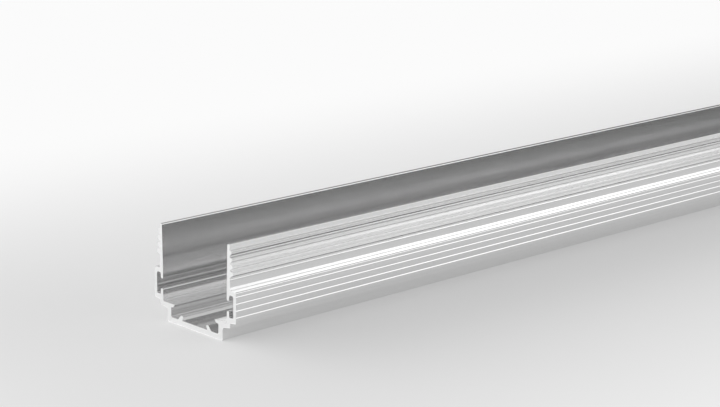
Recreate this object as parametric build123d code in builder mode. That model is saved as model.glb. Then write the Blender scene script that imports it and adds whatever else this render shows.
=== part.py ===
# Extruded aluminium profile for an LED strip, a 1 m length with sawn ends.
# Frame: X across the profile, Y along its length, Z up from the flat base.
# The origin is the middle of the base, halfway along the length. Sizes are in mm.
import os
from math import atan2, dist, pi, tan

from build123d import *

# Driving dimensions: the whole bar
length = 1000.0
overall_width = 36.0
overall_height = 28.4

# Strip channel: floor, side walls and the barbs that hold the strip's edges
floor_thickness = 1.6
channel_width = 24.5
channel_wall = 1.8
channel_floor_corner = 0.5
channel_roof_corner = 0.4
base_corner = 0.6
strip_width = 10.0
strip_clearance = 0.2
barb_height = 1.55
barb_beak = 0.35
barb_undercut = 0.4
barb_crest = 0.85
barb_foot = 1.85

# Ledges above the channel, which carry a cover over the strip
ledge_height = 5.55
ledge_opening = 17.5
ledge_thickness = 0.9
ledge_bevel = 0.7
ledge_root_drop = 1.67
ledge_edge_drop = 1.12
ledge_corner = 0.3
ledge_outer_root = 1.0

# Side boxes: a C-slot that opens inwards, closed by a web on the outside
clear_width = 28.1
slot_floor_height = 7.45
slot_height = 6.45
slot_gap = 3.0
slot_roof_corner = 0.6
slot_floor_corner = 0.4
lip_thickness = 1.0
lip_round = 0.38
box_floor = 1.55
box_floor_edge = 1.3
box_roof = 1.3
box_corner = 0.4
box_set_in = 2.5
box_root_corner = 0.35
web = 1.2

# Fine grooves along the outside of the web
line_count = 4
line_pitch = 2.0
line_width = 0.4
line_depth = 0.1
first_line_drop = 1.2

# Thin walls above the boxes, a little thinner towards the top
wall_foot = 1.42
wall_lean = 0.3
wall_foot_fillet = 0.15
wall_top_inner_round = 0.45
wall_top_outer_round = 0.2
top_band = 0.25

# Saw teeth on the outside of the walls, larger towards the bottom
tooth_count = 4
tooth_pitch = 2.0
first_tooth_drop = 1.5
tooth_wall = 1.05
tooth_reach = 1.03
tooth_growth = 0.21
tooth_shoulder = 0.3
shoulder_growth = 0.03
tooth_face = 0.75
tooth_set_back = 0.13
tooth_tip_round = 0.05
tooth_round = 0.19
tooth_root_round = 0.1
rib_height = 0.4
rib_round = 0.12
notch_depth = 0.25
notch_width = 0.5

# Half widths and heights that several corners share
half_width = overall_width / 2
channel_outside = channel_width / 2
channel_inside = channel_outside - channel_wall
inner_face = clear_width / 2
lip_back = inner_face + lip_thickness
web_inside = half_width - web
ledge_edge = half_width - box_set_in
ledge_underside = ledge_height - ledge_thickness
slot_roof_height = slot_floor_height + slot_height
box_top = slot_roof_height + box_roof
lip_height = (slot_height - slot_gap) / 2
wall_inside_top = inner_face + wall_lean
wall_outside = inner_face + wall_foot
tooth_line = inner_face + tooth_wall
barb_tip = (strip_width + strip_clearance) / 2
barb_top = floor_thickness + barb_height

# A corner is (half width, height, rounding radius); a sharp one has radius 0
base_side = [
    (0, 0, 0),
    (channel_outside, 0, base_corner),
    (channel_outside, ledge_height - ledge_root_drop, ledge_outer_root),
    (ledge_edge, ledge_height - ledge_edge_drop, ledge_corner),
    (ledge_edge, slot_floor_height - box_floor, box_root_corner),
    (half_width, slot_floor_height - box_floor_edge, box_corner),
]


def line_groove(number):
    """Corners of one V groove along the web's outside, counted from the top."""
    middle = box_top - first_line_drop - number * line_pitch
    return [
        (half_width, middle - line_width / 2, 0),
        (half_width - line_depth, middle, 0),
        (half_width, middle + line_width / 2, 0),
    ]


box_side = [corner for number in reversed(range(line_count)) for corner in line_groove(number)]
box_roof_side = [
    (half_width, box_top, box_corner),
    (wall_outside, box_top, wall_foot_fillet),
]


def tooth(number):
    """Corners of one saw tooth from its tip up, counted from the top."""
    root = overall_height - first_tooth_drop - number * tooth_pitch
    shoulder = root - tooth_shoulder - number * shoulder_growth
    tip = tooth_line + tooth_reach + number * tooth_growth
    return [
        (tip, shoulder - tooth_face, tooth_tip_round),
        (tip - tooth_set_back, shoulder, tooth_round),
        (tooth_line, root, tooth_root_round),
    ]


# The rib stands one pitch below the lowest tooth, flush with the thicker foot, over a V notch
rib_top = overall_height - first_tooth_drop - tooth_count * tooth_pitch
rib_tip = rib_top - rib_height
rib = [
    (wall_outside, rib_tip - notch_width, 0),
    (wall_outside - notch_depth, rib_tip - notch_width / 2, 0),
    (wall_outside, rib_tip, rib_round),
    (tooth_line, rib_top, 0),
]
teeth = [corner for number in reversed(range(tooth_count)) for corner in tooth(number)]
wall_top = [
    (tooth_line + top_band, overall_height - first_tooth_drop + top_band, 0),
    (tooth_line + top_band, overall_height, wall_top_outer_round),
    (wall_inside_top, overall_height, wall_top_inner_round),
]

slot = [
    (inner_face, box_top, 0),
    (inner_face, slot_roof_height - lip_height, lip_round),
    (lip_back, slot_roof_height - lip_height, lip_round),
    (lip_back, slot_roof_height, slot_roof_corner),
    (web_inside, slot_roof_height, slot_roof_corner),
    (web_inside, slot_floor_height, slot_floor_corner),
    (lip_back, slot_floor_height, slot_floor_corner),
    (lip_back, slot_floor_height + lip_height, lip_round),
    (inner_face, slot_floor_height + lip_height, lip_round),
]
ledge = [
    (inner_face, ledge_height, ledge_corner),
    (ledge_opening / 2, ledge_height, ledge_corner / 2),
    (ledge_opening / 2 + ledge_bevel, ledge_underside, ledge_corner / 2),
    (channel_inside, ledge_underside, channel_roof_corner),
    (channel_inside, floor_thickness, channel_floor_corner),
]
barb = [
    (barb_tip + barb_undercut + barb_foot, floor_thickness, ledge_corner),
    (barb_tip + barb_crest, barb_top, ledge_corner),
    (barb_tip, barb_top - barb_beak, ledge_corner / 2),
    (barb_tip + barb_undercut, floor_thickness, 0),
    (0, floor_thickness, 0),
]

corners = base_side + box_side + box_roof_side + rib + teeth + wall_top + slot + ledge + barb


def fitted_radius(before, corner, after):
    """The corner's radius, or less where a short side has no room for it."""
    turn = atan2(after[1] - corner[1], after[0] - corner[0])
    turn -= atan2(corner[1] - before[1], corner[0] - before[0])
    turn = abs((turn + pi) % (2 * pi) - pi)
    room = 0.45 * min(dist(before[:2], corner[:2]), dist(corner[:2], after[:2]))
    return min(corner[2], room / tan(turn / 2)) if corner[2] else 0


radii = [
    fitted_radius(corners[i - 1], corner, corners[(i + 1) % len(corners)])
    for i, corner in enumerate(corners)
]

# The half section is mirrored, and the bar is extruded both ways from its middle
with BuildPart() as led_profile:
    with BuildSketch(Plane.XZ):
        with BuildLine():
            FilletPolyline([corner[:2] for corner in corners], radius=radii, close=True)
        make_face()
        mirror(about=Plane.YZ)
    extrude(amount=length / 2, both=True)

led_profile.part.label = "led_profile"

os.makedirs("parts", exist_ok=True)
export_step(led_profile.part, "parts/led_profile.step")

section_area = led_profile.part.volume / length
print("section area", round(section_area, 1), "mm2,", len(corners), "corners in half the outline")
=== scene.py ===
# %% [markdown]
# # An aluminium profile for an LED strip
#
# The object is one extruded bar: a metre of aluminium with the same section from end to end. At the
# bottom is a flat channel for a 10 mm LED strip, above it two ledges carry a cover, at the sides are
# C-shaped slots, and two thin walls with saw teeth on their outsides stand on top.
#
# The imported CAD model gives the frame: X runs across the bar, Y along it, Z up, and the origin is the
# middle of the base. Blender works in metres, so one millimetre is 0.001.

# %% Load the frame
from math import cos, radians, sin

import bmesh
import bpy
from mathutils import Matrix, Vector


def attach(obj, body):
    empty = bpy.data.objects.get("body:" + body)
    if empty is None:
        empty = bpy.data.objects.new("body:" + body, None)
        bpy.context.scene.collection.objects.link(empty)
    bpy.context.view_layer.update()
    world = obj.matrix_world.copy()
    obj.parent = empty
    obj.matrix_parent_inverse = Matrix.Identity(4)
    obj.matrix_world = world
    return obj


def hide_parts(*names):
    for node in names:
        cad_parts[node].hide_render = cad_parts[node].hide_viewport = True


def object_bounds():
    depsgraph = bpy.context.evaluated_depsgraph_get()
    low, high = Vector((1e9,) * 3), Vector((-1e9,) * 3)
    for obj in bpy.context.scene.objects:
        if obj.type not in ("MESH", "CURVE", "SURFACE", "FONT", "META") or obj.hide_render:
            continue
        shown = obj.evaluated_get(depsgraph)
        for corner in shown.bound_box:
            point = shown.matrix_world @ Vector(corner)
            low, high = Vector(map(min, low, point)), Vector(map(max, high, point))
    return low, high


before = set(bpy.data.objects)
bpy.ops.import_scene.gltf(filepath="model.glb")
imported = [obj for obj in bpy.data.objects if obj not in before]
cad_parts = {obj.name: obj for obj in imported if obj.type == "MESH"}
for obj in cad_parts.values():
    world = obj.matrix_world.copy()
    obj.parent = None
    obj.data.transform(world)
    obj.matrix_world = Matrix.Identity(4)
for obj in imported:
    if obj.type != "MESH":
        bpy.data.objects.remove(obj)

MM = 0.001
cad_low, cad_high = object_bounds()
print("CAD box in mm:", [round(v / MM, 2) for v in (*cad_low, *cad_high)])

# %% [markdown]
# ## One clean mesh of the bar
#
# The node from CAD is a shell of loose triangles. It could be shown as it is, but loose triangles can't
# be shaded smoothly, and every fillet along the bar would show its facets. So a copy is merged: points
# that coincide become one, and triangles that lie in one plane melt into a single face. What is left is
# one face for each flat strip along the bar, and one many-sided face at each sawn end.

# %% Merge a copy of the CAD node
MERGE_DISTANCE = 0.001 * MM
SAME_PLANE = radians(0.3)

bar_mesh = bmesh.new()
bar_mesh.from_mesh(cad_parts["led_profile"].data)
loose_triangles = len(bar_mesh.faces)
bmesh.ops.remove_doubles(bar_mesh, verts=bar_mesh.verts, dist=MERGE_DISTANCE)
bmesh.ops.dissolve_limit(
    bar_mesh, angle_limit=SAME_PLANE, verts=bar_mesh.verts, edges=bar_mesh.edges, delimit={"NORMAL"}
)
print(loose_triangles, "loose triangles became", len(bar_mesh.faces), "faces")

# %% [markdown]
# ## The sawn ends
#
# A bar is cut to length with a circular saw, and a quick pass with a deburring tool then breaks the
# razor edge. A Bevel modifier could do that, but it would also try the long edges. Insetting the two end
# faces does only what the tool does: a thin ring of new faces follows the whole outline, and moving the
# old outline back along the bar tips the ring into a chamfer. The ring is narrower than the outline's
# smallest radius, the 0.05 mm of the tooth tips, because a wider one would fold over itself there.

# %% Break the edges of both ends
DEBURR = 0.03 * MM

ends = [face for face in bar_mesh.faces if abs(face.normal.y) > 0.9]
outline = {vertex for face in ends for vertex in face.verts}
bmesh.ops.inset_region(bar_mesh, faces=ends, thickness=DEBURR, use_even_offset=True)
for vertex in outline:
    vertex.co.y -= DEBURR if vertex.co.y > 0 else -DEBURR
print(len(ends), "sawn ends, each with", len(outline) // 2, "points in its outline")

# %% [markdown]
# ## Smooth fillets and crisp corners
#
# The die that the bar was pressed through has both true corners and small fillets. Faces that meet at
# less than a set angle belong to one fillet and are shaded as one curve; steeper edges stay crisp. The
# strips are very unequal in width, so a Weighted Normal modifier lets the wide flat strips keep their
# own direction, and only the narrow strips of a fillet bend from one to the next.

# %% Mark the crisp edges and make the piece
CRISP_ANGLE = radians(24)
EXTRUDED, SAWN = 0, 1

bar_mesh.normal_update()
for edge in bar_mesh.edges:
    edge.smooth = edge.is_manifold and edge.calc_face_angle() < CRISP_ANGLE
for face in bar_mesh.faces:
    face.smooth = True
    face.material_index = SAWN if abs(face.normal.y) > 0.3 else EXTRUDED

bar_data = bpy.data.meshes.new("profile_bar")
bar_mesh.to_mesh(bar_data)
bar_mesh.free()
bar = bpy.data.objects.new("profile_bar", bar_data)
bpy.context.scene.collection.objects.link(bar)

weighted = bar.modifiers.new("flat_strips_lead", "WEIGHTED_NORMAL")
weighted.mode = "FACE_AREA"
weighted.keep_sharp = True
print("piece:", bar.name, "with", len(bar_data.polygons), "faces")

# %% [markdown]
# ## Its place in the model
#
# The bar has no joint, so it rides on the root body. It stands for the CAD node that it was copied from,
# and its material slot says what it is made of.

# %% Fasten the piece to the frame
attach(bar, "root")
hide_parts("led_profile")
print(bar.name, "rides on root and stands for led_profile")

# %% [markdown]
# ## Materials: a few helpers
#
# Every pattern here is made of nodes and reads Object coordinates, so it stays on the bar from any side
# and needs no pictures. A few small functions keep the cells short: one starts a material, one adds a
# node with its inputs set, one does a sum with a Math node, one makes a drawn-out noise, and one stretches
# a range of values to another range.

# %% Helpers for materials


def new_material(name):
    """A material with a Principled BSDF, and its node tree."""
    material = bpy.data.materials.new(name)
    material.use_nodes = True
    return material, material.node_tree


def add_node(tree, kind, **inputs):
    """A node of that kind, with the named inputs set."""
    node = tree.nodes.new("ShaderNode" + kind)
    for name, value in inputs.items():
        node.inputs[name.replace("_", " ")].default_value = value
    return node


def calculate(tree, operation, *terms):
    """The result of a Math node, whose terms are numbers or other nodes' results."""
    node = tree.nodes.new("ShaderNodeMath")
    node.operation = operation
    for socket, term in zip(node.inputs, terms):
        if isinstance(term, (int, float)):
            socket.default_value = term
        else:
            tree.links.new(term, socket)
    return node.outputs["Value"]


def drawn_out_noise(tree, across, along):
    """Noise with spots about that wide across the bar and that long along it, in metres."""
    place = add_node(tree, "TexCoord").outputs["Object"]
    squeeze = add_node(tree, "Mapping", Scale=(1 / across, 1 / along, 1 / across))
    noise = add_node(tree, "TexNoise", Scale=1.0, Detail=2.0, Roughness=0.6)
    tree.links.new(place, squeeze.inputs["Vector"])
    tree.links.new(squeeze.outputs["Vector"], noise.inputs["Vector"])
    return noise.outputs["Fac"]


def remap(tree, value, low, high, start=0.3, end=0.7):
    """The value stretched so that start becomes low and end becomes high."""
    node = tree.nodes.new("ShaderNodeMapRange")
    for name, number in (("From Min", start), ("From Max", end), ("To Min", low), ("To Max", high)):
        node.inputs[name].default_value = number
    tree.links.new(value, node.inputs["Value"])
    return node.outputs["Result"]


# %% [markdown]
# ## The extruded surface
#
# Hot metal is pushed through the die, and every tiny nick in the steel draws a line from one end of the
# bar to the other. Then the bar is etched and anodised, which takes the shine down to an even satin. So
# reflections are soft, a little softer across the bar than along it, and the die lines are only just
# there. An image of scratches would repeat and blur up close. Instead the shader's Anisotropic value
# smears the gloss, with its tangent along the bar, and stretched noise adds faint lines to the
# roughness, the tone and the bump. The clear oxide skin scatters some light, so the surface isn't quite
# fully metallic, and the depths of the section don't go black.

# %% Extruded aluminium
ALUMINIUM_TONE = (0.87, 0.87, 0.87)
STREAK_DEPTH = 0.07
SATIN = 0.1
SATIN_SPREAD = 0.015
METAL_SHARE = 0.95
SMEAR = 0.5
QUARTER_TURN = 0.25

extruded, tree = new_material("aluminium_extruded")
shader = tree.nodes["Principled BSDF"]
shader.inputs["Metallic"].default_value = METAL_SHARE
shader.inputs["Anisotropic"].default_value = SMEAR
shader.inputs["Anisotropic Rotation"].default_value = QUARTER_TURN

along_bar = add_node(tree, "CombineXYZ", X=0.0, Y=1.0, Z=0.0)
tree.links.new(along_bar.outputs["Vector"], shader.inputs["Tangent"])

fine_lines = drawn_out_noise(tree, across=0.3 * MM, along=500 * MM)
wide_streaks = drawn_out_noise(tree, across=1.8 * MM, along=900 * MM)
clouds = drawn_out_noise(tree, across=14 * MM, along=50 * MM)

satin_lines = remap(tree, fine_lines, SATIN - SATIN_SPREAD, SATIN + SATIN_SPREAD)
satin = calculate(tree, "ADD", satin_lines, remap(tree, clouds, -SATIN_SPREAD / 2, SATIN_SPREAD / 2))
tree.links.new(satin, shader.inputs["Roughness"])

tone = add_node(tree, "Mix")
tone.data_type = "RGBA"
tone.inputs["A"].default_value = (*[(1 - STREAK_DEPTH) * c for c in ALUMINIUM_TONE], 1)
tone.inputs["B"].default_value = (*ALUMINIUM_TONE, 1)
tree.links.new(remap(tree, wide_streaks, 0.0, 1.0), tone.inputs["Factor"])
tree.links.new(tone.outputs["Result"], shader.inputs["Base Color"])

ribs = add_node(tree, "Bump", Strength=0.08, Distance=0.01 * MM)
tree.links.new(fine_lines, ribs.inputs["Height"])
tree.links.new(ribs.outputs["Normal"], shader.inputs["Normal"])
print("material:", extruded.name, "with", len(tree.nodes), "nodes")

# %% [markdown]
# ## The sawn surface
#
# The saw leaves the ends matt and a little brighter than the drawn sides, with hardly visible arcs from
# its teeth. The blade is far larger than the bar, so the arcs are almost straight and slant across the
# section. Rings of a Wave texture about a far centre would do it too; a noise drawn out along one slant
# is lighter and looks less regular.

# %% Sawn aluminium
SAWN_TONE = (0.88, 0.88, 0.88)
SAWN_ROUGHNESS = 0.55
ARC_SLANT = radians(28)
ARC_LENGTH, ARC_PITCH = 6 * MM, 0.12 * MM

sawn, tree = new_material("aluminium_sawn")
shader = tree.nodes["Principled BSDF"]
shader.inputs["Metallic"].default_value = 1.0
shader.inputs["Base Color"].default_value = (*SAWN_TONE, 1)
shader.inputs["Roughness"].default_value = SAWN_ROUGHNESS

place = add_node(tree, "TexCoord").outputs["Object"]
slant = add_node(tree, "Mapping", Rotation=(0, ARC_SLANT, 0), Scale=(1 / ARC_LENGTH, 1, 1 / ARC_PITCH))
saw_marks = add_node(tree, "TexNoise", Scale=1.0, Detail=3.0, Roughness=0.6)
tree.links.new(place, slant.inputs["Vector"])
tree.links.new(slant.outputs["Vector"], saw_marks.inputs["Vector"])
cut = add_node(tree, "Bump", Strength=0.15, Distance=0.01 * MM)
tree.links.new(saw_marks.outputs["Fac"], cut.inputs["Height"])
tree.links.new(cut.outputs["Normal"], shader.inputs["Normal"])
print("material:", sawn.name, "with", len(tree.nodes), "nodes")

# %% [markdown]
# ## Both materials on one bar
#
# Each face holds the number of its material. EXTRUDED is 0 and SAWN is 1, so the materials are added in
# that order.

# %% Put both materials on the bar
for material in (extruded, sawn):
    bar_data.materials.append(material)
print("materials on the bar:", [material.name for material in bar_data.materials])

# %% [markdown]
# ## The floor
#
# A product photograph has the object on a pale floor without an end. One large square is enough: the
# camera never sees its edge.

# %% A large flat floor
FLOOR_HALF = 20.0

floor_mesh = bmesh.new()
bmesh.ops.create_grid(floor_mesh, x_segments=1, y_segments=1, size=FLOOR_HALF)
floor_data = bpy.data.meshes.new("floor")
floor_mesh.to_mesh(floor_data)
floor_mesh.free()
floor = bpy.data.objects.new("floor", floor_data)
bpy.context.scene.collection.objects.link(floor)
print("floor:", 2 * FLOOR_HALF, "m square")

# %% [markdown]
# ## The floor's paint
#
# The floor's diffuse part keeps the bar's soft shadow, and a little emission, which only the camera,
# reflections and clear materials see, lifts it towards white without throwing more light on the bar. The
# emission is weaker close to the bar, which paints a soft grey shade around it: far away the floor is
# white, and beside the bar the painted shade adds to the real shadow and darkens what the bar's sides
# mirror. The distance is worked out from the floor's coordinates: without their signs, less half the bar's
# size, and never below zero.

# %% A pale paint with painted shade beside the bar
FLOOR_TONE = 0.5
LIFT_IN_PAINTED_SHADE, LIFT_BEYOND = 0.32, 0.55
PAINTED_SHADE_CORE, PAINTED_SHADE_REACH = 20 * MM, 220 * MM

paint, tree = new_material("floor_white")
tree.nodes.remove(tree.nodes["Principled BSDF"])
matt = add_node(tree, "BsdfDiffuse", Color=(FLOOR_TONE, FLOOR_TONE, FLOOR_TONE, 1))
rays = add_node(tree, "LightPath").outputs
seen = calculate(tree, "MAXIMUM", rays["Is Camera Ray"], rays["Is Glossy Ray"])
seen = calculate(tree, "MAXIMUM", seen, rays["Is Transmission Ray"])

# Painted shade: the white emission is weaker near the bar, so the floor there looks grey like a shadow,
# and the bar's sides mirror that grey.
spot = add_node(tree, "TexCoord").outputs["Object"]
for operation, term in (("ABSOLUTE", (0, 0, 0)), ("SUBTRACT", cad_high), ("MAXIMUM", (0, 0, 0))):
    step = add_node(tree, "VectorMath")
    step.operation = operation
    step.inputs[1].default_value = term
    tree.links.new(spot, step.inputs[0])
    spot = step.outputs["Vector"]
distance = add_node(tree, "VectorMath")
distance.operation = "LENGTH"
tree.links.new(spot, distance.inputs[0])
lift_under_painted_shade = remap(tree, distance.outputs["Value"], LIFT_IN_PAINTED_SHADE, LIFT_BEYOND, PAINTED_SHADE_CORE, PAINTED_SHADE_REACH)
lift_under_painted_shade.node.interpolation_type = "SMOOTHSTEP"

glow = add_node(tree, "Emission", Color=(1, 1, 1, 1))
tree.links.new(calculate(tree, "MULTIPLY", seen, lift_under_painted_shade), glow.inputs["Strength"])
both = add_node(tree, "AddShader")
tree.links.new(matt.outputs["BSDF"], both.inputs[0])
tree.links.new(glow.outputs["Emission"], both.inputs[1])
tree.links.new(both.outputs["Shader"], tree.nodes["Material Output"].inputs["Surface"])
floor_data.materials.append(paint)
print("the floor is white from", PAINTED_SHADE_REACH, "m off the bar")

# %% [markdown]
# ## The studio around the bar
#
# Bright metal shows what stands round it, so lighting it means choosing what it mirrors. Area lamps
# would do, but each would have to be aimed again if the bar grew. The world is always far away: here it
# is a plain pale room with a few soft patches, each one the glow of a direction that fades out smoothly.

# %% Helper for soft patches of light
world = bpy.data.worlds.new("studio")
bpy.context.scene.world = world
world.use_nodes = True
tree = world.node_tree

sky_way = add_node(tree, "VectorMath")
sky_way.operation = "NORMALIZE"
tree.links.new(add_node(tree, "TexCoord").outputs["Generated"], sky_way.inputs[0])


def soft_patch(azimuth, elevation, width):
    """1 in that direction of the room and less around it, with width the angle where a third is left.

    All in degrees, azimuth from +Y towards +X.
    """
    turned, raised = radians(azimuth), radians(elevation)
    facing = tree.nodes.new("ShaderNodeVectorMath")
    facing.operation = "DOT_PRODUCT"
    tree.links.new(sky_way.outputs["Vector"], facing.inputs[0])
    facing.inputs[1].default_value = (sin(turned) * cos(raised), cos(turned) * cos(raised), sin(raised))
    steepness = 1 / (1 - cos(radians(width)))
    fall = calculate(tree, "MULTIPLY_ADD", facing.outputs["Value"], steepness, -steepness)
    return calculate(tree, "EXPONENT", fall)


# %% [markdown]
# ## The room and its lights
#
# Two lights on the right, behind the bar, are what the box tops and the tooth shoulders mirror, so they
# gleam. A long, low window behind the camera's left shoulder is made of patches side by side, the last
# one weaker: it lights the sawn end and throws the bar's soft shadow to the right. The far left corner is
# dim, which gives the inner walls their slow fall from light to dark. The room is also darker close to
# the floor, as a studio is below its lamps: its light starts at WALL_FOOT and is full from WALL_TOP, both
# in degrees above the floor. That keeps the upright tooth faces calm between their bright shoulders.
# Each light is a name, an azimuth, an elevation and a width in degrees, and a strength.

# %% The room and its lights
ROOM_LEVEL = 0.5
DIM_SHARE = 0.95
DIM_CORNER = (330, 15, 48)
WALL_FOOT, WALL_TOP = 1, 12
LIGHTS = (
    ("right, low", 40, 12, 12, 1.4),
    ("right, high", 50, 35, 20, 0.7),
    ("window, front part", 200, 18, 20, 3.0),
    ("window, middle part", 235, 18, 20, 3.0),
    ("window, back part", 265, 18, 20, 3.0),
    ("window, far end", 290, 20, 25, 0.8),
)

level = calculate(tree, "MULTIPLY_ADD", soft_patch(*DIM_CORNER), -ROOM_LEVEL * DIM_SHARE, ROOM_LEVEL)
for name, azimuth, elevation, width, strength in LIGHTS:
    level = calculate(tree, "MULTIPLY_ADD", soft_patch(azimuth, elevation, width), strength, level)
    print("light", name, "at azimuth", azimuth, "and elevation", elevation)

height = add_node(tree, "SeparateXYZ")
tree.links.new(sky_way.outputs["Vector"], height.inputs["Vector"])
above_foot = remap(tree, height.outputs["Z"], 0.0, 1.0, sin(radians(WALL_FOOT)), sin(radians(WALL_TOP)))
above_foot.node.interpolation_type = "SMOOTHSTEP"
level = calculate(tree, "MULTIPLY", level, above_foot)
tree.links.new(level, tree.nodes["Background"].inputs["Strength"])
tree.nodes["Background"].inputs["Color"].default_value = (1, 1, 1, 1)

# %% [markdown]
# ## Deep reflections
#
# A ray that falls between the two walls is mirrored five or six times before it comes out again. Cycles
# gives up after four glossy bounces, which would leave the inner walls too dark, so it may go on.

# %% Let light come out of the channel
DEEP_BOUNCES = 12

bpy.context.scene.cycles.glossy_bounces = DEEP_BOUNCES
print("glossy bounces:", bpy.context.scene.cycles.glossy_bounces)

# %% [markdown]
# ## Camera
#
# The photograph looks along the bar from its front right, a little from above. The camera's place and
# angles come from the lines of the bar in the photograph: a long lens, 0.56 m from the near end.

# %% Camera
CAMERA_PLACE = (0.40963, -0.83448, 0.17105)
CAMERA_TURN, CAMERA_DIP, CAMERA_ROLL = radians(45.759), radians(14.197), radians(0.876)
FOCAL_LENGTH = 97.87

camera_data = bpy.data.cameras.new("camera")
camera_data.sensor_width = 36.0
camera_data.lens = FOCAL_LENGTH
camera_data.clip_start = 0.01
camera_data.clip_end = 100.0
camera = bpy.data.objects.new("camera", camera_data)
bpy.context.scene.collection.objects.link(camera)
camera.matrix_world = (
    Matrix.Translation(CAMERA_PLACE)
    @ Matrix.Rotation(CAMERA_TURN, 4, "Z")
    @ Matrix.Rotation(radians(90) - CAMERA_DIP, 4, "X")
    @ Matrix.Rotation(CAMERA_ROLL, 4, "Z")
)
bpy.context.scene.camera = camera
bpy.context.scene.view_settings.view_transform = "Standard"
print("camera with a", FOCAL_LENGTH, "mm lens at", CAMERA_PLACE)
